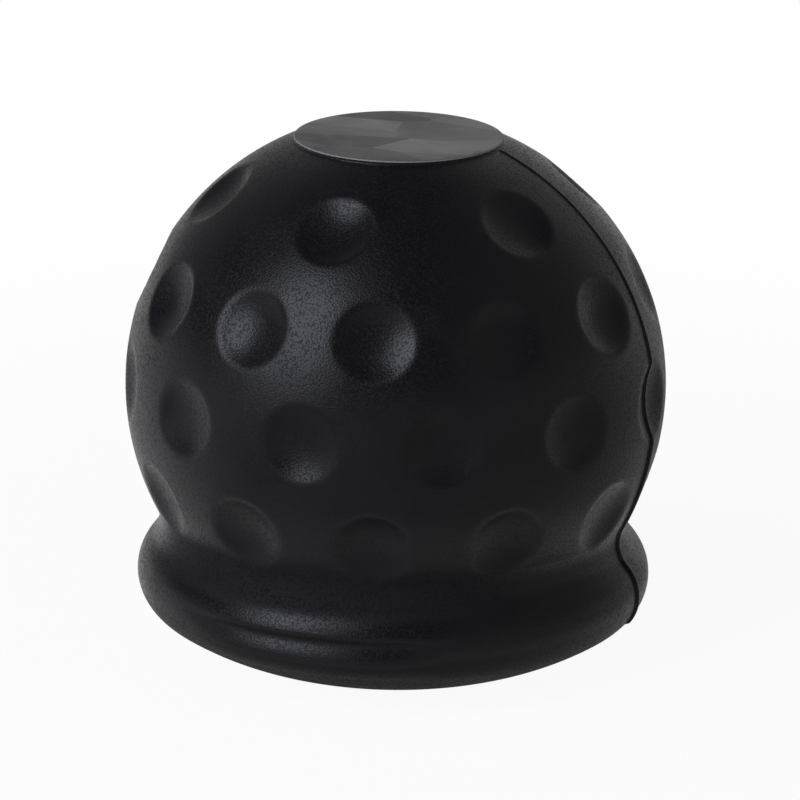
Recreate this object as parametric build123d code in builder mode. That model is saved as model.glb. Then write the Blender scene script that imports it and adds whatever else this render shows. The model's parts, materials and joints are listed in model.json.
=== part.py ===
from build123d import *

import math
import os

# Tow ball cover: one soft rubber moulding that is pushed over a 50 mm tow ball, 62 mm across and 60 mm tall.
# All sizes are in millimetres, and angles in degrees. The origin is on the axis at the foot, +Z points up,
# and the two halves of the mould part on the XZ plane.

# What it goes over, and the shell around that
tow_ball_diameter = 50.0
seat_clearance = 0.25
wall = 5.75

# Flat disc that stands a little proud of the crown
disc_radius = 11.9
disc_rise = 0.475

# Rolled lip: where its bead lies round the ball, outside the ball's surface and above the foot
lip_angle = -42.3
bead_stand_off = 2.17
lip_height = 8.576
bead_radius = 5.1
neck_fillet = 0.8

# Shallow groove that parts the lip into two, at an angle up the bead
groove_angle = 3.0
groove_radius = 0.9
groove_depth = 0.35
groove_edge = 0.7

# Throat, foot, and the rounded underside between the foot and the bead
throat_radius = 16.0
mouth_edge = 1.2
foot_width = 0.8
underside_radius = 31.0

# Dimples with soft rims. The lowest row keeps clear of the neck.
dimple_rim = 4.45
dimple_depth = 0.93
dimple_edge = 1.6
row_clearance = 1.67

# Their rows: angle up the ball from the lowest row, turn of the first dimple from the parting plane, number
row_angles = (0.0, 22.4, 44.5, 68.5)
turn_angles = (15.0, 0.0, 15.0, 30.0)
row_counts = (12, 12, 12, 6)

# Rib that the mould's parting leaves down both sides
rib_height = 0.3
rib_width = 0.5
rib_end = 5.6


def angle_of(vector):
    """Angle of a profile vector above the radius."""
    return math.degrees(math.atan2(vector.Y, vector.X))


def way_at(angle, length):
    """Profile vector of a length at an angle above the radius."""
    return Vector(length, 0).rotate(Axis.Z, angle)


def meeting_point(start, from_start, end, from_end):
    """Point at a distance from each of two points, on the left of the way from one to the other."""
    span = end - start
    along = (span.length**2 + from_start**2 - from_end**2) / (2 * span.length)
    aside = math.sqrt(from_start**2 - along**2)
    return start + way_at(angle_of(span), along) + way_at(angle_of(span) + 90, aside)


# Worked out from the sizes above. Points of the profile are a radius and a height.
seat_radius = tow_ball_diameter / 2 + seat_clearance
ball_radius = seat_radius + wall
ball_to_bead = way_at(lip_angle, ball_radius + bead_stand_off)
ball_centre = Vector(0, lip_height - ball_to_bead.Y)
bead_centre = ball_centre + ball_to_bead
disc_height = ball_centre.Y + math.sqrt(ball_radius**2 - disc_radius**2) + disc_rise
foot_point = Vector(throat_radius + mouth_edge + foot_width, 0)

# The neck's arc touches the ball and the bead from outside, and the underside's arc holds the bead
neck_centre = meeting_point(ball_centre, ball_radius + neck_fillet, bead_centre, bead_radius + neck_fillet)
underside_centre = meeting_point(foot_point, underside_radius, bead_centre, underside_radius - bead_radius)
neck_angle = angle_of(neck_centre - ball_centre)
bead_angle = angle_of(neck_centre - bead_centre)
underside_angle = angle_of(bead_centre - underside_centre)
foot_angle = angle_of(foot_point - underside_centre)

# A dimple is cut by the cap of a sphere, which stands out from the ball's centre by its reach
dimple_radius = (dimple_rim**2 + dimple_depth**2) / (2 * dimple_depth)
dimple_reach = math.sqrt(ball_radius**2 - dimple_rim**2) + math.sqrt(dimple_radius**2 - dimple_rim**2)
cap_offset = dimple_reach - ball_radius - dimple_depth
rim_bend = math.asin(dimple_rim / dimple_radius) + math.asin(dimple_rim / ball_radius)
rim_reach = dimple_rim + dimple_edge * math.tan(rim_bend / 2)
lowest_angle = neck_angle + math.degrees((rim_reach + row_clearance) / ball_radius)
ball_angles = [lowest_angle + row_angle for row_angle in row_angles]
rows = list(zip(ball_angles, turn_angles, row_counts))


def outer_profile(grow):
    """The outside from the disc's edge to the foot, grown outwards and closed along the axis."""
    edge_radius = disc_radius - grow
    disc_angle = math.degrees(math.acos(edge_radius / (ball_radius + grow)))
    ball = CenterArc(ball_centre, ball_radius + grow, disc_angle, neck_angle - disc_angle)
    CenterArc(neck_centre, neck_fillet - grow, neck_angle + 180, bead_angle - neck_angle)
    CenterArc(bead_centre, bead_radius + grow, bead_angle, underside_angle - bead_angle)
    foot_turn = foot_angle - underside_angle
    underside = CenterArc(underside_centre, underside_radius + grow, underside_angle, foot_turn)
    Polyline(underside @ 1, (0, 0), (0, disc_height), (edge_radius, disc_height), ball @ 0)


# Cutter of one dimple, with its cap towards -X
with BuildPart() as dimple:
    Sphere(dimple_radius)
    split(bisect_by=Plane.YZ.offset(-cap_offset), keep=Keep.BOTTOM)

with BuildPart() as cover:
    # Outside of the shell, with the groove in its lip
    with BuildSketch(Plane.XZ) as outside:
        with BuildLine():
            outer_profile(0)
        make_face()
        groove_centre = bead_centre + way_at(groove_angle, bead_radius + groove_radius - groove_depth)
        with Locations(groove_centre):
            Circle(groove_radius, mode=Mode.SUBTRACT)
        groove_rims = outside.vertices().sort_by_distance(groove_centre)[:2]
        fillet(groove_rims, groove_edge)
    revolve(axis=Axis.Z)

    # Rows of dimples with soft rims
    for angle, turn, count in rows:
        dimple_centre = ball_centre + way_at(angle, dimple_reach)
        with Locations((0, 0, dimple_centre.Y)):
            with PolarLocations(dimple_centre.X, count, start_angle=turn):
                add(dimple.part, rotation=(0, -angle, 0), mode=Mode.SUBTRACT)
    circles = cover.edges().filter_by(GeomType.CIRCLE)
    dimple_rims = circles.filter_by(lambda edge: math.isclose(edge.radius, dimple_rim, rel_tol=1e-6))
    fillet(dimple_rims, dimple_edge)

    # Parting rib, which follows the ball, the neck and the bead, and dips into the dimples that it crosses
    with BuildSketch(Plane.XZ) as rib:
        with BuildLine():
            outer_profile(rib_height)
        make_face()
        for angle, turn, count in rows:
            if turn == 0:
                dip_centre = ball_centre + way_at(angle, dimple_reach)
                with Locations(dip_centre):
                    Circle(dimple_radius - rib_height, mode=Mode.SUBTRACT)
                dip_rims = rib.vertices().sort_by_distance(dip_centre)[:2]
                fillet(dip_rims, dimple_edge + rib_height)
        # It runs from just inside the disc's edge down to the lip
        rib_start = disc_radius - rib_height
        with Locations((0, disc_height)):
            Rectangle(2 * rib_start, 2 * rib_start, mode=Mode.SUBTRACT)
        Rectangle(4 * ball_radius, 2 * rib_end, mode=Mode.SUBTRACT)
        mirror(about=Plane.YZ)
    extrude(amount=rib_width / 2, both=True)

    # Ball seat, and the narrower throat that holds the cover on
    with BuildSketch(Plane.XZ) as inside:
        with Locations(ball_centre):
            Circle(seat_radius)
        with Locations(ball_centre / 2):
            Rectangle(2 * throat_radius, ball_centre.Y)
        split(bisect_by=Plane.YZ)
    revolve(axis=Axis.Z, mode=Mode.SUBTRACT)
    mouth = cover.edges().filter_by(GeomType.CIRCLE).group_by(Axis.Z)[0].sort_by(SortBy.RADIUS)[0]
    fillet(mouth, mouth_edge)

cover.part.label = "cover"
os.makedirs("parts", exist_ok=True)
export_step(cover.part, "parts/cover.step")
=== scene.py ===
"""Looks of a tow ball cover: a hollow moulding of black rubber with dimples, a lip and a flat crown.

Run as a script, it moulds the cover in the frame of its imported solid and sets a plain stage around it.
"""

import json
import math

import bpy
import numpy as np
from bpy.props import FloatProperty, FloatVectorProperty, IntProperty, PointerProperty
from bpy.types import Operator, Panel, PropertyGroup
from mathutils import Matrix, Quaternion, Vector


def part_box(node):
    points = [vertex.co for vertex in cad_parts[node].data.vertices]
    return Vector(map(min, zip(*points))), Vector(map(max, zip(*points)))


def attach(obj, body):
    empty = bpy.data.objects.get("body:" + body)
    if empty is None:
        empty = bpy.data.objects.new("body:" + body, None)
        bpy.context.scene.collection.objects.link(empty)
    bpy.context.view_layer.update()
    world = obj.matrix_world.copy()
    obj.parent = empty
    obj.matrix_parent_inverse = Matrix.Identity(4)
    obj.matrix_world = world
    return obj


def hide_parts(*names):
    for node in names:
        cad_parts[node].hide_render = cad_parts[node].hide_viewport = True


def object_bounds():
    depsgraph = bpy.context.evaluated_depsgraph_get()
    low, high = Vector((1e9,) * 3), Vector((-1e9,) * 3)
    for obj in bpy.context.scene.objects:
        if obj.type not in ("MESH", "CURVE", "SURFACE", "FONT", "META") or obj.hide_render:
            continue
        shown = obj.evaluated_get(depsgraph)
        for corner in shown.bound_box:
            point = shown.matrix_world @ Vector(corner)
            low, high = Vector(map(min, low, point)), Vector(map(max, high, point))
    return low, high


bl_info = {
    "name": "Tow Ball Cover",
    "version": (1, 0, 0),
    "blender": (4, 5, 0),
    "location": "View3D > Sidebar > Tow Cover",
    "description": "Moulds a dimpled rubber tow ball cover and sets a plain studio stage around it",
    "category": "Add Mesh",
}

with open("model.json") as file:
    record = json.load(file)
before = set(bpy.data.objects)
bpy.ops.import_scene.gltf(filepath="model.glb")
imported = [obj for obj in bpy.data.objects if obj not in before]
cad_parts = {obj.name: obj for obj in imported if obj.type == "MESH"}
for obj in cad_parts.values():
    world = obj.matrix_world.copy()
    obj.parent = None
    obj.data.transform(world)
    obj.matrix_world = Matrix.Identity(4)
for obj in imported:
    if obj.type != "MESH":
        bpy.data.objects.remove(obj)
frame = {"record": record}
CAD_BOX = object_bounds()
CROWN_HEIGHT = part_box("cover")[1].z
RECORD_MOUNTS = {mount["name"]: mount for mount in frame["record"]["mounts"]}
THROAT_RADIUS = RECORD_MOUNTS["throat"]["dims"]["r_mm"] / 1000

# Parts of the profile, which take their own finish
DISC, BALL, NECK, LIP, SEAT = range(5)

# Rows of dimples: degrees up the ball, degrees from the parting plane to the first one, and their number
DIMPLE_ROWS = ((-20.0, 15.0, 12), (2.4, 0.0, 12), (24.5, 15.0, 12), (48.5, 30.0, 6))

# Rows of the mesh on the straight stretches of the profile, and the fewest on an arc
DISC_ROWS, WALL_ROWS, FOOT_ROWS, THROAT_ROWS, LEAST_ARC_ROWS = 12, 3, 2, 6, 3

# Steps of the mesh: on the disc's edge a share of its rounding, and elsewhere shares of the row step
DISC_EDGE_STEP = 0.25
LIP_STEP, MOUTH_STEP, WAIST_STEP, SEAT_STEP = 0.6, 0.8, 0.5, 4

# Parting rib: columns beside it and where its flanks fall, as shares of its width from its middle
RIB_COLUMNS = (0.0, 0.2, 0.34, 0.44, 0.52, 0.62, 0.9, 1.5, 2.3)
RIB_FLANKS = (0.36, 0.56)

# Share of the rib that is lost towards the crown, and between which shares of the crown's height
RIB_LOSS_LEFT, RIB_LOSS_RIGHT = 1.0, 0.5
RIB_LOSS_HEIGHTS = (0.4, 0.9)

# Where the lip's groove and the neck's dust begin and are full: shares of the radius to front or back
GROOVE_FADE, DUST_FADE = (0.83, 0.97), (0.5, 0.9)

# Rows over which dust thins out beside the neck, and its reach in the groove as a share of the steep side
DUST_ROWS, GROOVE_DUST = 11, 0.6

# The disc's edge takes a painted highlight, a paler and rougher rim, where it leans out further than this
RIM_HIGHLIGHT_LEAN = 0.5

# Soft box, and how near the camera sees
KEY_SIZE, KEY_DISTANCE = (0.3, 0.42), 0.6
NEAREST_SIGHT = 0.01

# Tent of glowing sheets round the cover, which show only as painted reflections in its gloss: degrees to
# the right of the camera and up, with its back starting lower
TENT_TURNS, TENT_HEIGHTS, TENT_BACK_START = (-122, 125), (4, 50), 2
TENT_DISTANCE, TENT_STEPS = 1.2, 24

# Where its sheets change from their left glow to their right one, as shares of its distance to the right
FRONT_CHANGE, BACK_CHANGE = (0.1, 0.7), (-0.6, -0.05)

# Glowing sheet on the floor, and painted shadow under the cover, both seen only in the gloss; the shadow
# lightens from its own level to the sheet's
SHEET_TURNS, SHEET_REACH, SHEET_LIFT = (-70, 165), (0.05, 0.6), 0.0003
SHADE_REACH, SHADE_LIMITS, SHADE_LEVEL = (0.0165, 0.036), (0.022, 0.034), 0.15

# Floor, which is less white near the cover and in the cover's gloss
FLOOR_RADIUS, FLOOR_CORNERS, FLOOR_ROUGHNESS = 3.0, 96, 0.8
WHITE_REACH, WHITE_NEAR, WHITE_IN_GLOSS = (0.04, 0.25), 0.94, 0.8
WHITE = (1, 1, 1, 1)


def length(name, description, default):
    """A size in metres that a user may change."""
    return FloatProperty(name=name, description=description, default=default, unit="LENGTH", precision=5)


def turn(name, description, degrees):
    """An angle that a user may change, given in degrees."""
    angle = math.radians(degrees)
    return FloatProperty(name=name, description=description, default=angle, unit="ROTATION")


def share(name, description, default):
    """A share from nothing to all."""
    return FloatProperty(
        name=name, description=description, default=default, min=0, max=1, subtype="FACTOR"
    )


def colour(name, description, default):
    """A plain colour that a user may change."""
    return FloatVectorProperty(
        name=name, description=description, default=default, size=3, min=0, max=1, subtype="COLOR"
    )


class CoverShape(PropertyGroup):
    """Sizes of the moulding"""

    ball_radius: length("Ball Radius", "Outside of the ball", 0.031)
    seat_radius: length("Seat Radius", "Hollow that the tow ball sits in", 0.02525)
    disc_radius: length("Disc Radius", "Flat disc on the crown", 0.0119)
    disc_rise: length("Disc Rise", "Height of the disc's wall above the ball", 0.000475)
    disc_edge: length("Disc Edge", "Rounding of the disc's edge", 0.00018)
    lip_angle: turn("Lip Angle", "Where the lip's bead lies round the ball", -42.3)
    bead_stand_off: length("Bead Stand-off", "Middle of the bead outside the ball's surface", 0.00217)
    bead_radius: length("Bead Radius", "Rolled bead of the lip", 0.0051)
    neck_radius: length("Neck Radius", "Hollow between the ball and the bead", 0.004)
    groove_angle: turn("Groove Angle", "Place of the groove's bottom up the bead", 8.0)
    groove_depth: length("Groove Depth", "Depth of the groove at the front and the back", 0.00048)
    groove_above: length("Groove Above", "Steep side of the groove, above its bottom", 0.0006)
    roll_rise: length("Roll Rise", "How far the roll below the groove stands out", 0.0005)
    roll_place: length("Roll Place", "From the groove's bottom down to the roll's top", 0.0028)
    roll_end: length("Roll End", "From the groove's bottom down to the roll's end", 0.0057)
    throat_radius: length("Throat Radius", "Narrow way in below the seat", THROAT_RADIUS)
    mouth_edge: length("Mouth Edge", "Rounding of the throat's mouth", 0.0012)
    waist_edge: length("Waist Edge", "Rounding between the throat and the seat", 0.0005)
    foot_width: length("Foot Width", "Flat ring that the cover stands on", 0.0008)
    underside_radius: length("Underside Radius", "Curve between the foot and the bead", 0.031)
    dimple_rim: length("Dimple Rim", "Radius of a dimple's opening", 0.00445)
    dimple_depth: length("Dimple Depth", "Depth of a dimple below its rim", 0.00093)
    dimple_softness: length("Dimple Softness", "How far a dimple's rim is rounded off", 0.00016)
    rib_height: length("Rib Height", "Parting rib above the surface", 0.0003)
    rib_width: length("Rib Width", "Parting rib from side to side", 0.0005)
    rib_end: length("Rib End", "Height on the lip where the rib ends", 0.0056)
    row_step: length("Row Step", "Distance between rows of the mesh outside", 0.00043)
    column_count: IntProperty(name="Columns", description="Columns in a half turn", default=166, min=24)


class CoverFinish(PropertyGroup):
    """Colours and textures of the rubber"""

    rubber: colour("Rubber", "Black of the moulded rubber", (0.0046, 0.0043, 0.0052))
    bloom: colour("Bloom", "Grey film of dust and bloom on the rubber", (0.03, 0.03, 0.033))
    # Grey of the disc: partly a painted reflection of the white backdrop on the flat, partly a greyer
    # finish
    disc: colour("Disc", "Grey of the disc", (0.043, 0.043, 0.043))
    patch: colour("Patch", "Duller patches of the disc", (0.03, 0.03, 0.03))
    # Pale grey painted along the disc's rounded edge as a highlight line
    rubbed_and_highlit: colour("Rubbed", "Grey of the disc's rubbed edge", (0.17, 0.165, 0.15))
    grain_size: length("Grain Size", "Width of a pebble in the grain", 0.00026)
    grain_depth: length("Grain Depth", "Depth of the grain", 0.000016)
    roughness: share("Roughness", "Roughness of the moulded rubber", 0.29)
    disc_roughness: share("Disc Roughness", "Roughness of the disc", 0.3)
    seat_roughness: share("Seat Roughness", "Roughness of the seat", 0.36)
    dust_roughness: share("Dust Roughness", "Roughness that dust adds in the neck and the groove", 0.45)
    gloss: share("Gloss", "Strength of the moulded rubber's reflections", 0.17)
    disc_gloss: share("Disc Gloss", "Strength of the disc's reflections", 0.45)
    seat_gloss: share("Seat Gloss", "Strength of the seat's reflections", 0.25)


class CoverStage(PropertyGroup):
    """Camera, lights and floor"""

    camera_turn: turn("Camera Turn", "Camera round the cover, from the front towards the rib", 19.55)
    camera_height: turn("Camera Height", "Camera above the horizon", 17.0)
    camera_roll: turn("Camera Roll", "Roll of the camera", 0.8)
    camera_distance: length("Camera Distance", "Camera from the ball's middle", 0.56)
    lens: FloatProperty(
        name="Lens", description="Focal length in millimetres", default=219.4, unit="CAMERA"
    )
    aim_right: length("Aim Right", "Middle of the picture to the right of the ball's middle", 0.00053)
    aim_drop: length("Aim Drop", "Middle of the picture below the ball's middle", 0.0021)
    key_turn: turn("Key Turn", "Soft box to the left of the camera", 49.0)
    key_height: turn("Key Height", "Soft box above the horizon", 32.0)
    key_power: FloatProperty(
        name="Key Power", description="Soft box on the left", default=3.8, unit="POWER"
    )
    key_tint: colour("Key Tint", "Cool daylight of the soft box", (0.84, 0.87, 1.0))
    # Glow of the tent's sheets, which show only as painted reflections in the rubber's gloss
    tent_left: share("Tent Left", "Level of the dark cloth on the left and in front", 0.06)
    tent_right: share("Tent Right", "Level of the dark cloth on the right", 0.4)
    tent_back: share("Tent Back", "Level of the cloth at the back", 0.6)
    tent_corner: share("Tent Corner", "Level of the cloth at the back on the left", 0.3)
    tent_sheet: share("Tent Sheet", "Level of the sheet on the floor", 0.5)
    ambience: share("Ambience", "Level of the soft light from all round", 0.12)
    floor: colour("Floor", "Pale floor", (0.9, 0.9, 0.9))


def profile_line(start, end, normal, count):
    """Points and normals along a straight stretch of the profile."""
    way = np.linspace(0, 1, count + 1)[:, None]
    points = np.array(start) + way * (np.array(end) - np.array(start))
    return points, np.tile(np.array(normal, float), (count + 1, 1))


def profile_arc(centre, radius, start, end, step, side=1):
    """Points and normals along an arc of the profile; side is -1 where the rubber lies outside it."""
    count = max(LEAST_ARC_ROWS, math.ceil(abs(end - start) * radius / step))
    angles = np.linspace(start, end, count + 1)
    ways = np.stack([np.cos(angles), np.sin(angles)], axis=1)
    return np.array(centre) + radius * ways, side * ways


def angle_of(vector):
    """Angle of a profile vector above the radius."""
    return math.atan2(vector[1], vector[0])


def way_at(angle, reach):
    """Profile vector of a length at an angle above the radius."""
    return np.array([math.cos(angle), math.sin(angle)]) * reach


def meeting_point(start, from_start, end, from_end):
    """Point at a distance from each of two points, on the left of the way from one to the other."""
    span = np.array(end) - np.array(start)
    distance = float(np.hypot(*span))
    along = (distance**2 + from_start**2 - from_end**2) / (2 * distance)
    aside = math.sqrt(from_start**2 - along**2)
    return np.array(start) + way_at(angle_of(span), along) + way_at(angle_of(span) + math.pi / 2, aside)


def ball_height(shape):
    """Height of the ball's middle, below the crown disc."""
    return CROWN_HEIGHT - shape.disc_rise - math.sqrt(shape.ball_radius**2 - shape.disc_radius**2)


def bead_middle(shape):
    """Middle of the lip's bead in the profile."""
    ball = np.array([0, ball_height(shape)])
    return ball + way_at(shape.lip_angle, shape.ball_radius + shape.bead_stand_off)


def outside_sections(shape):
    """Sections of the profile from the crown's middle over the ball and the lip to the foot."""
    step, lip_step = shape.row_step, LIP_STEP * shape.row_step
    ball = np.array([0, ball_height(shape)])
    bead = bead_middle(shape)
    foot = np.array([shape.throat_radius + shape.mouth_edge + shape.foot_width, 0])
    neck = meeting_point(
        ball, shape.ball_radius + shape.neck_radius, bead, shape.bead_radius + shape.neck_radius
    )
    under = meeting_point(foot, shape.underside_radius, bead, shape.underside_radius - shape.bead_radius)
    neck_angle = angle_of(neck - ball)
    bead_angle = angle_of(neck - bead)
    under_angle = angle_of(bead - under)
    neck_start, neck_end = neck_angle + math.pi, bead_angle + math.pi

    edge = shape.disc_edge
    edge_middle = np.array([shape.disc_radius - edge, CROWN_HEIGHT - edge])
    flat_end = (shape.disc_radius - edge, CROWN_HEIGHT)
    wall_top = (shape.disc_radius, CROWN_HEIGHT - edge)
    wall_foot = (shape.disc_radius, CROWN_HEIGHT - shape.disc_rise)
    disc_angle = math.acos(shape.disc_radius / shape.ball_radius)

    return [
        (DISC, profile_line((0, CROWN_HEIGHT), flat_end, (0, 1), DISC_ROWS)),
        (DISC, profile_arc(edge_middle, edge, math.pi / 2, 0, DISC_EDGE_STEP * edge)),
        (BALL, profile_line(wall_top, wall_foot, (1, 0), WALL_ROWS)),
        (BALL, profile_arc(ball, shape.ball_radius, disc_angle, neck_angle, step)),
        (NECK, profile_arc(neck, shape.neck_radius, neck_start, neck_end, lip_step, -1)),
        (LIP, profile_arc(bead, shape.bead_radius, bead_angle, under_angle, lip_step)),
        (LIP, profile_arc(under, shape.underside_radius, under_angle, angle_of(foot - under), step)),
    ]


def inside_sections(shape):
    """Sections of the profile from the foot through the throat and up the seat to its top."""
    mouth_step, waist_step, seat_step = (
        coarseness * shape.row_step for coarseness in (MOUTH_STEP, WAIST_STEP, SEAT_STEP)
    )
    edge = shape.mouth_edge
    ball = np.array([0, ball_height(shape)])
    foot_end = (shape.throat_radius + edge, 0)
    foot_start = (shape.throat_radius + edge + shape.foot_width, 0)
    mouth = (shape.throat_radius + edge, edge)
    waist_reach = shape.seat_radius + shape.waist_edge
    waist_radius = shape.throat_radius + shape.waist_edge
    waist = np.array([waist_radius, ball[1] - math.sqrt(waist_reach**2 - waist_radius**2)])
    seat_start = angle_of(waist - ball)
    throat_foot = (shape.throat_radius, edge)
    throat_top = (shape.throat_radius, waist[1])
    return [
        (LIP, profile_line(foot_start, foot_end, (0, -1), FOOT_ROWS)),
        (LIP, profile_arc(mouth, edge, -math.pi / 2, -math.pi, mouth_step)),
        (SEAT, profile_line(throat_foot, throat_top, (-1, 0), THROAT_ROWS)),
        (SEAT, profile_arc(waist, shape.waist_edge, math.pi, seat_start + math.pi, waist_step)),
        (SEAT, profile_arc(ball, shape.seat_radius, seat_start, math.pi / 2, seat_step, -1)),
    ]


def shell_profile(shape):
    """Points, normals and parts of the whole profile, without its two ends on the axis."""
    points, normals, parts = [], [], []
    for part, (section_points, section_normals) in outside_sections(shape) + inside_sections(shape):
        points.append(section_points[1:])
        normals.append(section_normals[1:])
        parts += [part] * (len(section_points) - 1)
    return np.concatenate(points)[:-1], np.concatenate(normals)[:-1], np.array(parts[:-1])


def shell_columns(radii, shape):
    """Angles of the columns in each row: close together at the parting ribs and even between them."""
    offsets = np.array(RIB_COLUMNS) * shape.rib_width
    close = np.arcsin(offsets / np.maximum(radii, shape.disc_radius)[:, None])
    last = close[:, -1:]
    even = last + (math.pi - 2 * last) * np.linspace(0, 1, shape.column_count + 1)[1:-1]
    half_turn = np.concatenate([close, even, math.pi - close[:, :0:-1]], axis=1)
    return np.concatenate([half_turn, half_turn + math.pi], axis=1)


def turn_rows(profile, angles):
    """Points or normals of the profile, turned round the axis to the angles of each row."""
    heights = np.broadcast_to(profile[:, 1:], angles.shape)
    return np.stack([profile[:, :1] * np.cos(angles), profile[:, :1] * np.sin(angles), heights], axis=-1)


def dimple_axes():
    """Directions of the dimples from the ball's middle."""
    axes = []
    for degrees_up, first_turn, count in DIMPLE_ROWS:
        up = math.radians(degrees_up)
        for number in range(count):
            round_axis = math.radians(first_turn + number * 360 / count)
            level = math.cos(up)
            axes.append((level * math.cos(round_axis), level * math.sin(round_axis), math.sin(up)))
    return np.array(axes)


def soft_least(first, second, softness):
    """The lesser of two lengths, rounded off where they are about the same."""
    blend = np.clip(0.5 + 0.5 * (second - first) / softness, 0, 1)
    return second + (first - second) * blend - softness * blend * (1 - blend)


def press_dimples(points, shape):
    """Moves points inwards where a dimple's sphere bites into the ball, with soft rims."""
    middle = np.array([0, 0, ball_height(shape)])
    rays = points - middle
    reach = np.linalg.norm(rays, axis=-1)
    ways = rays / reach[..., None]
    rim, depth = shape.dimple_rim, shape.dimple_depth
    sphere = (rim**2 + depth**2) / (2 * depth)
    stand_off = math.sqrt(shape.ball_radius**2 - rim**2) + math.sqrt(sphere**2 - rim**2)
    pressed = reach.copy()
    for axis in dimple_axes():
        along = ways @ axis * stand_off
        chord = sphere**2 - stand_off**2 + along**2
        hit = along - np.sqrt(np.maximum(chord, 0))
        bites = (chord > 0) & (along > 0)
        pressed = np.where(bites, soft_least(pressed, hit, shape.dimple_softness), pressed)
    return middle + ways * pressed[..., None]


def smooth_step(values, low, high):
    """Rises smoothly from 0 at the low value to 1 at the high value."""
    way = np.clip((values - low) / (high - low), 0, 1)
    return way * way * (3 - 2 * way)


def smooth_path(values, places, levels):
    """Levels at places along a line, joined by smooth steps."""
    path = np.full(values.shape, float(levels[0]))
    for low, high, start, end in zip(places, places[1:], levels, levels[1:]):
        path += (end - start) * smooth_step(values, low, high)
    return path


def front_share(points, low, high):
    """How far a point lies to the front or the back: from 0 towards the ribs to 1 between them."""
    return smooth_step(np.abs(points[..., 1]) / np.hypot(points[..., 0], points[..., 1]), low, high)


def below_groove(profile, parts, shape):
    """How far down the bead each row of the lip lies from the groove's bottom; other rows lie far off."""
    from_bead = profile - bead_middle(shape)
    turns = shape.groove_angle - np.arctan2(from_bead[:, 1], from_bead[:, 0])
    return np.where(parts == LIP, turns * shape.bead_radius, math.inf)


def lip_offsets(drops, shape):
    """How far out the groove and the roll below it set the lip."""
    places = (-shape.groove_above, 0, shape.roll_place, shape.roll_end)
    return smooth_path(drops, places, (0, -shape.groove_depth, shape.roll_rise, 0))


def rib_share(points, parts, shape):
    """How much of the parting rib's height each point takes, which is less towards the crown."""
    width = shape.rib_width
    flank_top, flank_foot = (flank * width for flank in RIB_FLANKS)
    across = 1 - smooth_step(np.abs(points[..., 1]), flank_top, flank_foot)
    radius = np.hypot(points[..., 0], points[..., 1])
    leaves_disc = smooth_step(radius, shape.disc_radius, shape.disc_radius + width)
    leaves_disc = np.where(points[..., 2] < ball_height(shape), 1, leaves_disc)
    reaches_end = smooth_step(points[..., 2], shape.rib_end - width, shape.rib_end)
    on_outside = np.isin(parts, (BALL, NECK, LIP))[:, None]
    loss_start, loss_end = (height * CROWN_HEIGHT for height in RIB_LOSS_HEIGHTS)
    loss = np.where(points[..., 0] > 0, RIB_LOSS_RIGHT, RIB_LOSS_LEFT)
    remains = 1 - loss * smooth_step(points[..., 2], loss_start, loss_end)
    return across * leaves_disc * reaches_end * on_outside * remains


def dust_share(points, parts, drops, grooved, shape):
    """Film of dust in the neck at the front and the back, and in the groove of the lip."""
    spread = np.hanning(DUST_ROWS) / np.hanning(DUST_ROWS).sum()
    in_neck = np.convolve(parts == NECK, spread, "same")[:, None] * front_share(points, *DUST_FADE)
    in_groove = np.exp(-((drops / (GROOVE_DUST * shape.groove_above)) ** 2))[:, None] * grooved
    return in_neck + in_groove


def shell_faces(rows, columns):
    """Quads between the rows, and the fans that close them at the crown and at the top of the seat."""
    here = np.arange(rows * columns).reshape(rows, columns)
    beside = np.roll(here, -1, axis=1)
    crown, seat_top = here.size, here.size + 1
    faces = np.stack([here[:-1], here[1:], beside[1:], beside[:-1]], axis=-1).reshape(-1, 4).tolist()
    faces += [(crown, first, second) for first, second in zip(here[0].tolist(), beside[0].tolist())]
    faces += [(seat_top, second, first) for first, second in zip(here[-1].tolist(), beside[-1].tolist())]
    return faces


def shell_mesh(shape):
    """Mesh of the hollow shell: rows of the profile turned round the axis, dimpled, grooved and ribbed."""
    profile, normals, parts = shell_profile(shape)
    angles = shell_columns(profile[:, 0], shape)
    points, outwards = turn_rows(profile, angles), turn_rows(normals, angles)
    rows, columns = angles.shape

    ribs = rib_share(points, parts, shape)
    drops = below_groove(profile, parts, shape)
    grooved = front_share(points, *GROOVE_FADE)
    offsets = ribs * shape.rib_height + lip_offsets(drops, shape)[:, None] * grooved
    on_ball = np.isin(parts, (BALL, NECK))
    points[on_ball] = press_dimples(points[on_ball], shape)
    points = np.clip(points + outwards * offsets[..., None], *np.array(CAD_BOX))

    crown = (0, 0, CROWN_HEIGHT)
    seat_top = (0, 0, ball_height(shape) + shape.seat_radius)
    places = np.concatenate([points.reshape(-1, 3), [crown, seat_top]])
    faces = shell_faces(rows, columns)
    mesh = bpy.data.meshes.new("cover_shell")
    mesh.from_pydata(places.tolist(), [], faces)

    fans = [np.full(columns, DISC), np.full(columns, SEAT)]
    face_parts = np.concatenate([np.repeat(parts[1:], columns), *fans])
    skins = np.select([face_parts == DISC, face_parts == SEAT], [1, 2], 0)
    mesh.polygons.foreach_set("material_index", skins.astype(np.int32))
    mesh.polygons.foreach_set("use_smooth", np.ones(len(faces), bool))

    # The disc's rounded edge takes a painted highlight; the ribs take real wear
    disc_rim = (parts == DISC) & (normals[:, 0] > RIM_HIGHLIGHT_LEAN)
    wear_and_rim_highlight = np.maximum(ribs, disc_rim[:, None])
    dust = dust_share(points, parts, drops, grooved, shape)
    for name, values in (("wear_and_rim_highlight", wear_and_rim_highlight), ("dust", dust)):
        mask = np.append(values.ravel(), [0, 0])
        mesh.attributes.new(name, "FLOAT", "POINT").data.foreach_set("value", mask.astype(np.float32))
    mesh.update()
    return mesh


def add_node(tree, kind, **settings):
    """A new node of a tree, with its settings."""
    node = tree.nodes.new(kind)
    for name, value in settings.items():
        setattr(node, name, value)
    return node


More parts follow.
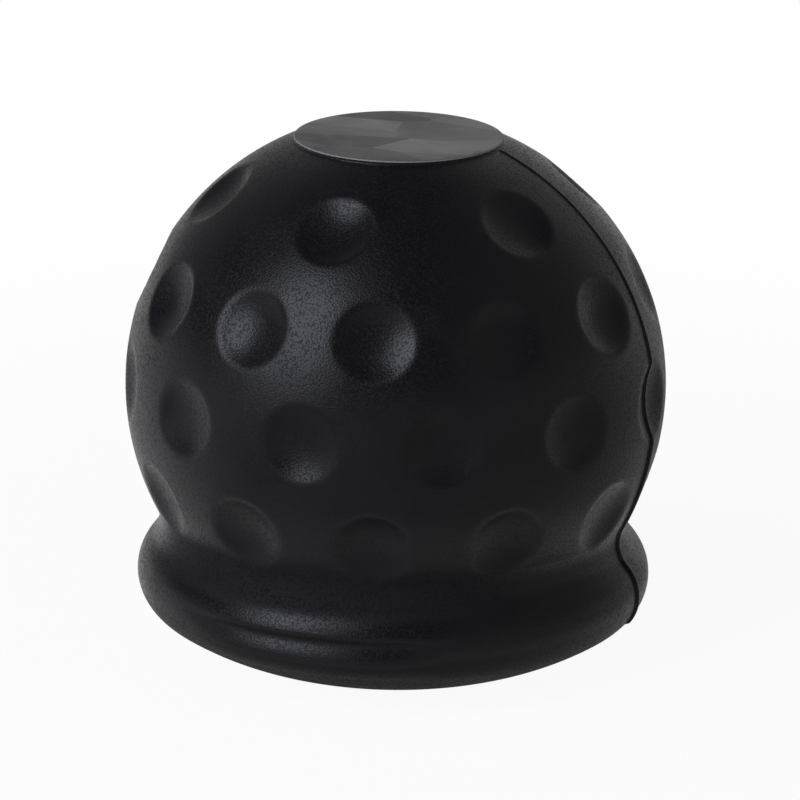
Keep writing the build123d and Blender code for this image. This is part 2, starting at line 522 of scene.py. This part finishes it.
def feed(tree, socket, value):
    """Gives a socket its own value, or links it to the socket that feeds it."""
    if isinstance(value, bpy.types.NodeSocket):
        tree.links.new(value, socket)
    else:
        socket.default_value = value


def object_place(tree):
    """Place on the object, in its own frame."""
    return add_node(tree, "ShaderNodeTexCoord").outputs["Object"]


def mesh_mask(tree, name):
    """A mask that the mesh carries."""
    return add_node(tree, "ShaderNodeAttribute", attribute_name=name).outputs["Fac"]


def math_node(tree, operation, *values):
    """A Math node's result from numbers or sockets."""
    node = add_node(tree, "ShaderNodeMath", operation=operation)
    for socket, value in zip(node.inputs, values):
        feed(tree, socket, value)
    return node.outputs[0]


def distance_node(tree, place):
    """Distance of a place from the object's origin."""
    node = add_node(tree, "ShaderNodeVectorMath", operation="LENGTH")
    tree.links.new(place, node.inputs[0])
    return node.outputs["Value"]


def sideways_node(tree, place):
    """How far to the right a place lies."""
    node = add_node(tree, "ShaderNodeSeparateXYZ")
    tree.links.new(place, node.inputs[0])
    return node.outputs["X"]


def noise_node(tree, place, scale, detail, roughness=0.5, distortion=0.0):
    """A noise texture's value at a place."""
    node = add_node(tree, "ShaderNodeTexNoise")
    tree.links.new(place, node.inputs["Vector"])
    feed(tree, node.inputs["Scale"], scale)
    node.inputs["Detail"].default_value = detail
    node.inputs["Roughness"].default_value = roughness
    node.inputs["Distortion"].default_value = distortion
    return node.outputs["Fac"]


def ramp_node(tree, value, low, high, from_value=0, to_value=1):
    """A value mapped smoothly from one range to another."""
    node = add_node(tree, "ShaderNodeMapRange", interpolation_type="SMOOTHSTEP")
    tree.links.new(value, node.inputs["Value"])
    node.inputs["From Min"].default_value = low
    node.inputs["From Max"].default_value = high
    node.inputs["To Min"].default_value = from_value
    node.inputs["To Max"].default_value = to_value
    return node.outputs["Result"]


def mix_colours(tree, amount, first, second):
    """A colour between two others, which are sockets or have four values."""
    node = add_node(tree, "ShaderNodeMix", data_type="RGBA")
    tree.links.new(amount, node.inputs["Factor"])
    feed(tree, node.inputs["A"], first)
    feed(tree, node.inputs["B"], second)
    return node.outputs["Result"]


def mix_shaders(tree, amount, first, second, surface):
    """Sends a mix of two shaders to a surface."""
    mix = add_node(tree, "ShaderNodeMixShader")
    tree.links.new(amount, mix.inputs["Fac"])
    tree.links.new(first.outputs[0], mix.inputs[1])
    tree.links.new(second.outputs[0], mix.inputs[2])
    tree.links.new(mix.outputs[0], surface)


def link_bump(tree, height, distance, shader):
    """Bump of a depth in metres on a shader's normal."""
    bump = add_node(tree, "ShaderNodeBump")
    bump.inputs["Distance"].default_value = distance
    tree.links.new(height, bump.inputs["Height"])
    tree.links.new(bump.outputs["Normal"], shader.inputs["Normal"])


def new_group(name, inputs, outputs):
    """An empty shader node group with named values going in and out."""
    group = bpy.data.node_groups.new(name, "ShaderNodeTree")
    for name_in, default in inputs.items():
        socket = group.interface.new_socket(name_in, in_out="INPUT", socket_type="NodeSocketFloat")
        socket.default_value = default
    for name_out in outputs:
        group.interface.new_socket(name_out, in_out="OUTPUT", socket_type="NodeSocketFloat")
    return group, group.nodes.new("NodeGroupInput"), group.nodes.new("NodeGroupOutput")


def place_group(tree, group, values):
    """A node group placed in a material, with its own values."""
    node = add_node(tree, "ShaderNodeGroup", node_tree=group)
    for name, value in values.items():
        node.inputs[name].default_value = value
    return node


def grain_group(finish):
    """Pebbled grain that the mould leaves: its height, and a mask of the hollows between pebbles."""
    hollow_start, hollow_end = 0.45, 0.75
    ripple_scale, ripple_detail, ripple_roughness, ripple_height = 0.45, 3, 0.6, 0.35
    group, given, made = new_group("Moulded Grain", {"Fineness": 1.0}, ["Height", "Hollows"])
    fineness = math_node(group, "DIVIDE", given.outputs["Fineness"], finish.grain_size)
    scaled = add_node(group, "ShaderNodeVectorMath", operation="SCALE")
    group.links.new(object_place(group), scaled.inputs["Vector"])
    group.links.new(fineness, scaled.inputs["Scale"])
    place = scaled.outputs[0]
    pebbles = add_node(group, "ShaderNodeTexVoronoi", feature="F1")
    group.links.new(place, pebbles.inputs["Vector"])
    pebbles.inputs["Scale"].default_value = 1
    from_middle = pebbles.outputs["Distance"]
    ripple = noise_node(group, place, ripple_scale, ripple_detail, ripple_roughness)
    domes = math_node(group, "SUBTRACT", 1.0, from_middle)
    height = math_node(group, "MULTIPLY_ADD", ripple, ripple_height, domes)
    group.links.new(height, made.inputs["Height"])
    group.links.new(ramp_node(group, from_middle, hollow_start, hollow_end), made.inputs["Hollows"])
    return group


def marks_group():
    """Marks of handling: soft smudges, and fine specks of dust."""
    smudge_limits, smudge_detail, smudge_distortion = (0.35, 0.7), 4, 0.6
    speck_limits, speck_detail = (0.68, 0.76), 1
    scales = {"Smudge Scale": 120.0, "Speck Scale": 2200.0}
    group, given, made = new_group("Handling Marks", scales, ["Smudges", "Specks"])
    place = object_place(group)
    smudge = noise_node(
        group, place, given.outputs["Smudge Scale"], smudge_detail, distortion=smudge_distortion
    )
    speck = noise_node(group, place, given.outputs["Speck Scale"], speck_detail)
    group.links.new(ramp_node(group, smudge, *smudge_limits), made.inputs["Smudges"])
    group.links.new(ramp_node(group, speck, *speck_limits), made.inputs["Specks"])
    return group


def new_material(name):
    """A material with its Principled BSDF."""
    material = bpy.data.materials.new(name)
    material.use_nodes = True
    return material, material.node_tree, material.node_tree.nodes["Principled BSDF"]


def moulded_rubber(finish, grain, marks):
    """Satin black rubber with the mould's pebbled grain, a thin bloom, rubbed ribs and a film of dust."""
    smudge_bloom, speck_bloom = 0.05, 0.12
    smudge_roughness, rib_roughness, hollow_roughness = 0.07, -0.06, 0.2
    material, tree, shader = new_material("moulded_rubber")
    pebbles = place_group(tree, grain, {"Fineness": 1.0}).outputs
    handling = place_group(tree, marks, {"Smudge Scale": 110.0, "Speck Scale": 2400.0}).outputs
    smudges = handling["Smudges"]

    bloom = math_node(tree, "MULTIPLY", smudges, smudge_bloom)
    dusty = math_node(tree, "MULTIPLY_ADD", handling["Specks"], speck_bloom, bloom)
    black = mix_colours(tree, dusty, (*finish.rubber, 1), (*finish.bloom, 1))
    tree.links.new(black, shader.inputs["Base Color"])

    smudged = math_node(tree, "MULTIPLY_ADD", smudges, smudge_roughness, finish.roughness)
    rubbed_and_highlit = math_node(tree, "MULTIPLY_ADD", mesh_mask(tree, "wear_and_rim_highlight"), rib_roughness, smudged)
    dulled = math_node(tree, "MULTIPLY_ADD", mesh_mask(tree, "dust"), finish.dust_roughness, rubbed_and_highlit)
    hollowed = math_node(tree, "MULTIPLY_ADD", pebbles["Hollows"], hollow_roughness, dulled)
    tree.links.new(hollowed, shader.inputs["Roughness"])
    shader.inputs["Specular IOR Level"].default_value = finish.gloss
    link_bump(tree, pebbles["Height"], finish.grain_depth, shader)
    return material


def slanting_place(tree, slant, scales, shift=(0, 0)):
    """Place in the plane of the disc, turned by a slant in degrees, drawn out and shifted."""
    mapping = add_node(tree, "ShaderNodeMapping")
    mapping.inputs["Rotation"].default_value = (0, 0, math.radians(slant))
    mapping.inputs["Scale"].default_value = (*scales, 1)
    mapping.inputs["Location"].default_value = (*shift, 0)
    tree.links.new(object_place(tree), mapping.inputs["Vector"])
    return mapping.outputs["Vector"]


def disc_rubber(finish, grain, marks):
    """Flat disc of the crown: greyer and a little uneven, with faint patches and a painted highlight along
    its edge.
    """
    patch_slant, patch_scales, patch_shift, patch_limits = -34, (95, 190), (7.7, 5.2), (0.2, 0.8)
    wave_slant, wave_scales, wave_detail = 24, (60, 150), 1
    wave_height, pebble_height = 8, 0.5
    smudge_roughness, patch_roughness, rim_highlight_roughness = 0.08, 0.15, 0.3
    material, tree, shader = new_material("disc_rubber")
    pebbles = place_group(tree, grain, {"Fineness": 1.3}).outputs
    handling = place_group(tree, marks, {"Smudge Scale": 160.0, "Speck Scale": 2400.0}).outputs
    smudges = handling["Smudges"]
    wear_and_rim_highlight = mesh_mask(tree, "wear_and_rim_highlight")

    cells = add_node(tree, "ShaderNodeTexVoronoi", feature="F1", voronoi_dimensions="2D")
    tree.links.new(slanting_place(tree, patch_slant, patch_scales, patch_shift), cells.inputs["Vector"])
    cells.inputs["Scale"].default_value = 1
    patches = ramp_node(tree, cells.outputs["Color"], *patch_limits)
    # The disc's grey is partly a painted reflection of the white backdrop
    flat = mix_colours(tree, patches, (*finish.disc, 1), (*finish.patch, 1))
    # Painted highlight: pale grey along the disc's rounded edge
    tree.links.new(mix_colours(tree, wear_and_rim_highlight, flat, (*finish.rubbed_and_highlit, 1)), shader.inputs["Base Color"])

    smudged = math_node(tree, "MULTIPLY_ADD", smudges, smudge_roughness, finish.disc_roughness)
    patched = math_node(tree, "MULTIPLY_ADD", patches, patch_roughness, smudged)
    rubbed_and_highlit = math_node(tree, "MULTIPLY_ADD", wear_and_rim_highlight, rim_highlight_roughness, patched)
    tree.links.new(rubbed_and_highlit, shader.inputs["Roughness"])
    shader.inputs["Specular IOR Level"].default_value = finish.disc_gloss

    wave = noise_node(tree, slanting_place(tree, wave_slant, wave_scales), 1, wave_detail)
    waves = math_node(tree, "MULTIPLY", wave, wave_height)
    uneven = math_node(tree, "MULTIPLY_ADD", pebbles["Height"], pebble_height, waves)
    link_bump(tree, uneven, finish.grain_depth, shader)
    return material


def seat_rubber(finish, grain, marks):
    """Inside of the moulding, smoother than the outside and filmed with grease."""
    film_share, film_roughness, grain_share = 0.12, 0.18, 0.5
    material, tree, shader = new_material("seat_rubber")
    pebbles = place_group(tree, grain, {"Fineness": 0.8}).outputs
    handling = place_group(tree, marks, {"Smudge Scale": 80.0, "Speck Scale": 1800.0}).outputs
    smudges = handling["Smudges"]
    film = math_node(tree, "MULTIPLY", smudges, film_share)
    black = mix_colours(tree, film, (*finish.rubber, 1), (*finish.bloom, 1))
    tree.links.new(black, shader.inputs["Base Color"])
    greased = math_node(tree, "MULTIPLY_ADD", smudges, film_roughness, finish.seat_roughness)
    tree.links.new(greased, shader.inputs["Roughness"])
    shader.inputs["Specular IOR Level"].default_value = finish.seat_gloss
    link_bump(tree, pebbles["Height"], grain_share * finish.grain_depth, shader)
    return material


class TOWCOVER_OT_mould_shell(Operator):
    """Mould the hollow dimpled shell with its lip, crown disc and parting ribs"""

    bl_idname = "tow_cover.mould_shell"
    bl_label = "Mould Shell"

    def execute(self, context):
        finish = context.scene.cover_finish
        piece = bpy.data.objects.new("cover_shell", shell_mesh(context.scene.cover_shape))
        context.scene.collection.objects.link(piece)
        grain, marks = grain_group(finish), marks_group()
        for make in (moulded_rubber, disc_rubber, seat_rubber):
            piece.data.materials.append(make(finish, grain, marks))
        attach(piece, "root")
        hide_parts("cover")
        return {"FINISHED"}


def white_for_sight(tree, in_gloss=1.0):
    """How far a ray sees white: a camera or transmission ray wholly, and a glossy ray by a share."""
    rays = add_node(tree, "ShaderNodeLightPath").outputs
    glossy = math_node(tree, "MULTIPLY", rays["Is Glossy Ray"], in_gloss)
    seen = math_node(tree, "MAXIMUM", rays["Is Camera Ray"], glossy)
    return math_node(tree, "MAXIMUM", seen, rays["Is Transmission Ray"])


def make_world(stage):
    """White all round to look at, and a lower soft light on the cover."""
    world = bpy.data.worlds.new("studio")
    world.use_nodes = True
    tree = world.node_tree
    soft = tree.nodes["Background"]
    white = add_node(tree, "ShaderNodeBackground")
    for light in (soft, white):
        light.inputs["Color"].default_value = WHITE
    soft.inputs["Strength"].default_value = stage.ambience
    surface = tree.nodes["World Output"].inputs["Surface"]
    mix_shaders(tree, white_for_sight(tree), soft, white, surface)
    return world


def make_floor(stage):
    """Round pale floor that keeps the cover's shadow and goes over to white further off."""
    corners = np.arange(FLOOR_CORNERS) * math.tau / FLOOR_CORNERS
    ring = [(FLOOR_RADIUS * math.cos(corner), FLOOR_RADIUS * math.sin(corner), 0) for corner in corners]
    mesh = bpy.data.meshes.new("floor")
    mesh.from_pydata(ring, [], [list(range(FLOOR_CORNERS))])
    material, tree, shader = new_material("pale_floor")
    shader.inputs["Base Color"].default_value = (*stage.floor, 1)
    shader.inputs["Roughness"].default_value = FLOOR_ROUGHNESS
    shader.inputs["Specular IOR Level"].default_value = 0
    far = ramp_node(tree, distance_node(tree, object_place(tree)), *WHITE_REACH, WHITE_NEAR, 1)
    seen = math_node(tree, "MULTIPLY", far, white_for_sight(tree, WHITE_IN_GLOSS))
    white = add_node(tree, "ShaderNodeEmission")
    mix_shaders(tree, seen, shader, white, tree.nodes["Material Output"].inputs["Surface"])
    mesh.materials.append(material)
    floor = bpy.data.objects.new("floor", mesh)
    return floor


def way_from(turn_angle, height_angle):
    """Direction from the cover towards a place round it, from the front towards the rib and up."""
    level = math.cos(height_angle)
    return Vector((math.sin(turn_angle) * level, -math.cos(turn_angle) * level, math.sin(height_angle)))


def make_key(stage, middle):
    """Tall soft box on the left, which faces the cover."""
    way = way_from(stage.camera_turn - stage.key_turn, stage.key_height)
    light = bpy.data.lights.new("key_soft_box", "AREA")
    light.shape = "RECTANGLE"
    light.size, light.size_y = KEY_SIZE
    light.energy = stage.key_power
    light.color = stage.key_tint
    key = bpy.data.objects.new("key_soft_box", light)
    key.location = middle + way * KEY_DISTANCE
    key.rotation_mode = "QUATERNION"
    key.rotation_quaternion = (-way).to_track_quat("-Z", "Y")
    return key


def curved_rows(turns, heights):
    """Rows of points on a cloth that curves round the cover, from one turn and height to another."""
    sides, ups = (np.radians(np.linspace(*limits, TENT_STEPS + 1)) for limits in (turns, heights))
    return [[way_from(side, up) * TENT_DISTANCE for side in sides] for up in ups]


def sheet_rows(turns, reaches, drop):
    """Rows of points on a cloth that lies flat round the cover."""
    sides = np.radians(np.linspace(*turns, TENT_STEPS + 1))
    return [[way_from(side, 0) * reach - Vector((0, 0, drop)) for side in sides] for reach in reaches]


def make_glowing_sheet(name, rows, measure, reaches, levels):
    """Glowing grey sheet from one level to another along a measure: a painted reflection that only shows
    in the rubber's gloss.
    """
    width = len(rows[0])
    corners = [row * width + column for row in range(len(rows) - 1) for column in range(width - 1)]
    mesh = bpy.data.meshes.new(name)
    mesh.from_pydata(sum(rows, []), [], [(at, at + 1, at + width + 1, at + width) for at in corners])
    material, tree, shader = new_material(name)
    tree.nodes.remove(shader)
    glow = add_node(tree, "ShaderNodeEmission")
    level = ramp_node(tree, measure(tree, object_place(tree)), *reaches, *levels)
    tree.links.new(level, glow.inputs["Strength"])
    tree.links.new(glow.outputs[0], tree.nodes["Material Output"].inputs["Surface"])
    mesh.materials.append(material)
    glow_sheet = bpy.data.objects.new(name, mesh)
    glow_sheet.visible_camera = False
    glow_sheet.visible_diffuse = False
    glow_sheet.visible_shadow = False
    return glow_sheet


def make_tent(stage, middle):
    """Glowing sheets of the tent, seen only as painted reflections: front, roof, back, the sheet on the
    floor and the painted shadow under the cover.
    """
    drop = middle.z - SHEET_LIFT
    front = curved_rows(TENT_TURNS, TENT_HEIGHTS)
    roof = curved_rows((-180, 180), (TENT_HEIGHTS[1], 90))
    back = curved_rows((TENT_TURNS[1], TENT_TURNS[0] + 360), (TENT_BACK_START, TENT_HEIGHTS[1]))
    sheet = sheet_rows(SHEET_TURNS, SHEET_REACH, drop)
    shade = sheet_rows((-180, 180), SHADE_REACH, drop)

    front_change = [change * TENT_DISTANCE for change in FRONT_CHANGE]
    back_change = [change * TENT_DISTANCE for change in BACK_CHANGE]
    shade_change = [math.hypot(reach, drop) for reach in SHADE_LIMITS]
    front_levels = (stage.tent_left, stage.tent_right)
    back_levels = (stage.tent_corner, stage.tent_back)
    sheet_levels = (stage.tent_sheet, stage.tent_sheet)
    shade_levels = (SHADE_LEVEL, stage.tent_sheet)
    glow_sheets = [
        make_glowing_sheet("tent_front", front, sideways_node, front_change, front_levels),
        make_glowing_sheet("tent_roof", roof, sideways_node, front_change, front_levels),
        make_glowing_sheet("tent_back", back, sideways_node, back_change, back_levels),
        make_glowing_sheet("tent_sheet", sheet, sideways_node, front_change, sheet_levels),
        # Painted shadow of the cover on the floor, seen only in the rubber's gloss
        make_glowing_sheet("foot_shade", shade, distance_node, shade_change, shade_levels),
    ]
    for glow_sheet in glow_sheets:
        glow_sheet.location = middle
        glow_sheet.rotation_euler.z = stage.camera_turn
    return glow_sheets


def make_camera(stage, middle):
    """Camera at the height and turn of the view, a little rolled."""
    back = way_from(stage.camera_turn, stage.camera_height)
    level = (-back).to_track_quat("-Z", "Y")
    right, up = level @ Vector((1, 0, 0)), level @ Vector((0, 1, 0))
    lens = bpy.data.cameras.new("camera")
    lens.lens = stage.lens
    lens.clip_start = NEAREST_SIGHT
    camera = bpy.data.objects.new("camera", lens)
    aim = middle + right * stage.aim_right - up * stage.aim_drop
    camera.location = aim + back * stage.camera_distance
    camera.rotation_mode = "QUATERNION"
    camera.rotation_quaternion = level @ Quaternion((0, 0, 1), stage.camera_roll)
    return camera


class TOWCOVER_OT_set_stage(Operator):
    """Set the floor, the tent, the lights and the camera"""

    bl_idname = "tow_cover.set_stage"
    bl_label = "Set Stage"

    def execute(self, context):
        scene = context.scene
        stage = scene.cover_stage
        middle = Vector((0, 0, ball_height(scene.cover_shape)))
        camera = make_camera(stage, middle)
        things = [make_floor(stage), *make_tent(stage, middle), make_key(stage, middle), camera]
        for thing in things:
            scene.collection.objects.link(thing)
        scene.world = make_world(stage)
        scene.camera = camera
        scene.view_settings.view_transform = "Standard"
        return {"FINISHED"}


class TOWCOVER_PT_sidebar(Panel):
    """Sizes, finish and stage of the tow ball cover"""

    bl_label = "Tow Ball Cover"
    bl_idname = "TOWCOVER_PT_sidebar"
    bl_space_type = "VIEW_3D"
    bl_region_type = "UI"
    bl_category = "Tow Cover"

    def draw(self, context):
        scene = context.scene
        for title, settings, operator in (
            ("Shell", scene.cover_shape, TOWCOVER_OT_mould_shell),
            ("Finish", scene.cover_finish, None),
            ("Stage", scene.cover_stage, TOWCOVER_OT_set_stage),
        ):
            box = self.layout.box()
            box.label(text=title)
            for name in settings.__annotations__:
                box.prop(settings, name)
            if operator:
                box.operator(operator.bl_idname)


CLASSES = (
    CoverShape,
    CoverFinish,
    CoverStage,
    TOWCOVER_OT_mould_shell,
    TOWCOVER_OT_set_stage,
    TOWCOVER_PT_sidebar,
)


def register():
    """Registers the classes, and gives the scene their settings."""
    for cls in CLASSES:
        bpy.utils.register_class(cls)
    bpy.types.Scene.cover_shape = PointerProperty(type=CoverShape)
    bpy.types.Scene.cover_finish = PointerProperty(type=CoverFinish)
    bpy.types.Scene.cover_stage = PointerProperty(type=CoverStage)


def unregister():
    """Takes the settings and the classes away again."""
    del bpy.types.Scene.cover_stage
    del bpy.types.Scene.cover_finish
    del bpy.types.Scene.cover_shape
    for cls in reversed(CLASSES):
        bpy.utils.unregister_class(cls)


def main():
    """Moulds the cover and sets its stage."""
    register()
    bpy.ops.tow_cover.mould_shell()
    bpy.ops.tow_cover.set_stage()


if __name__ == "__main__":
    main()
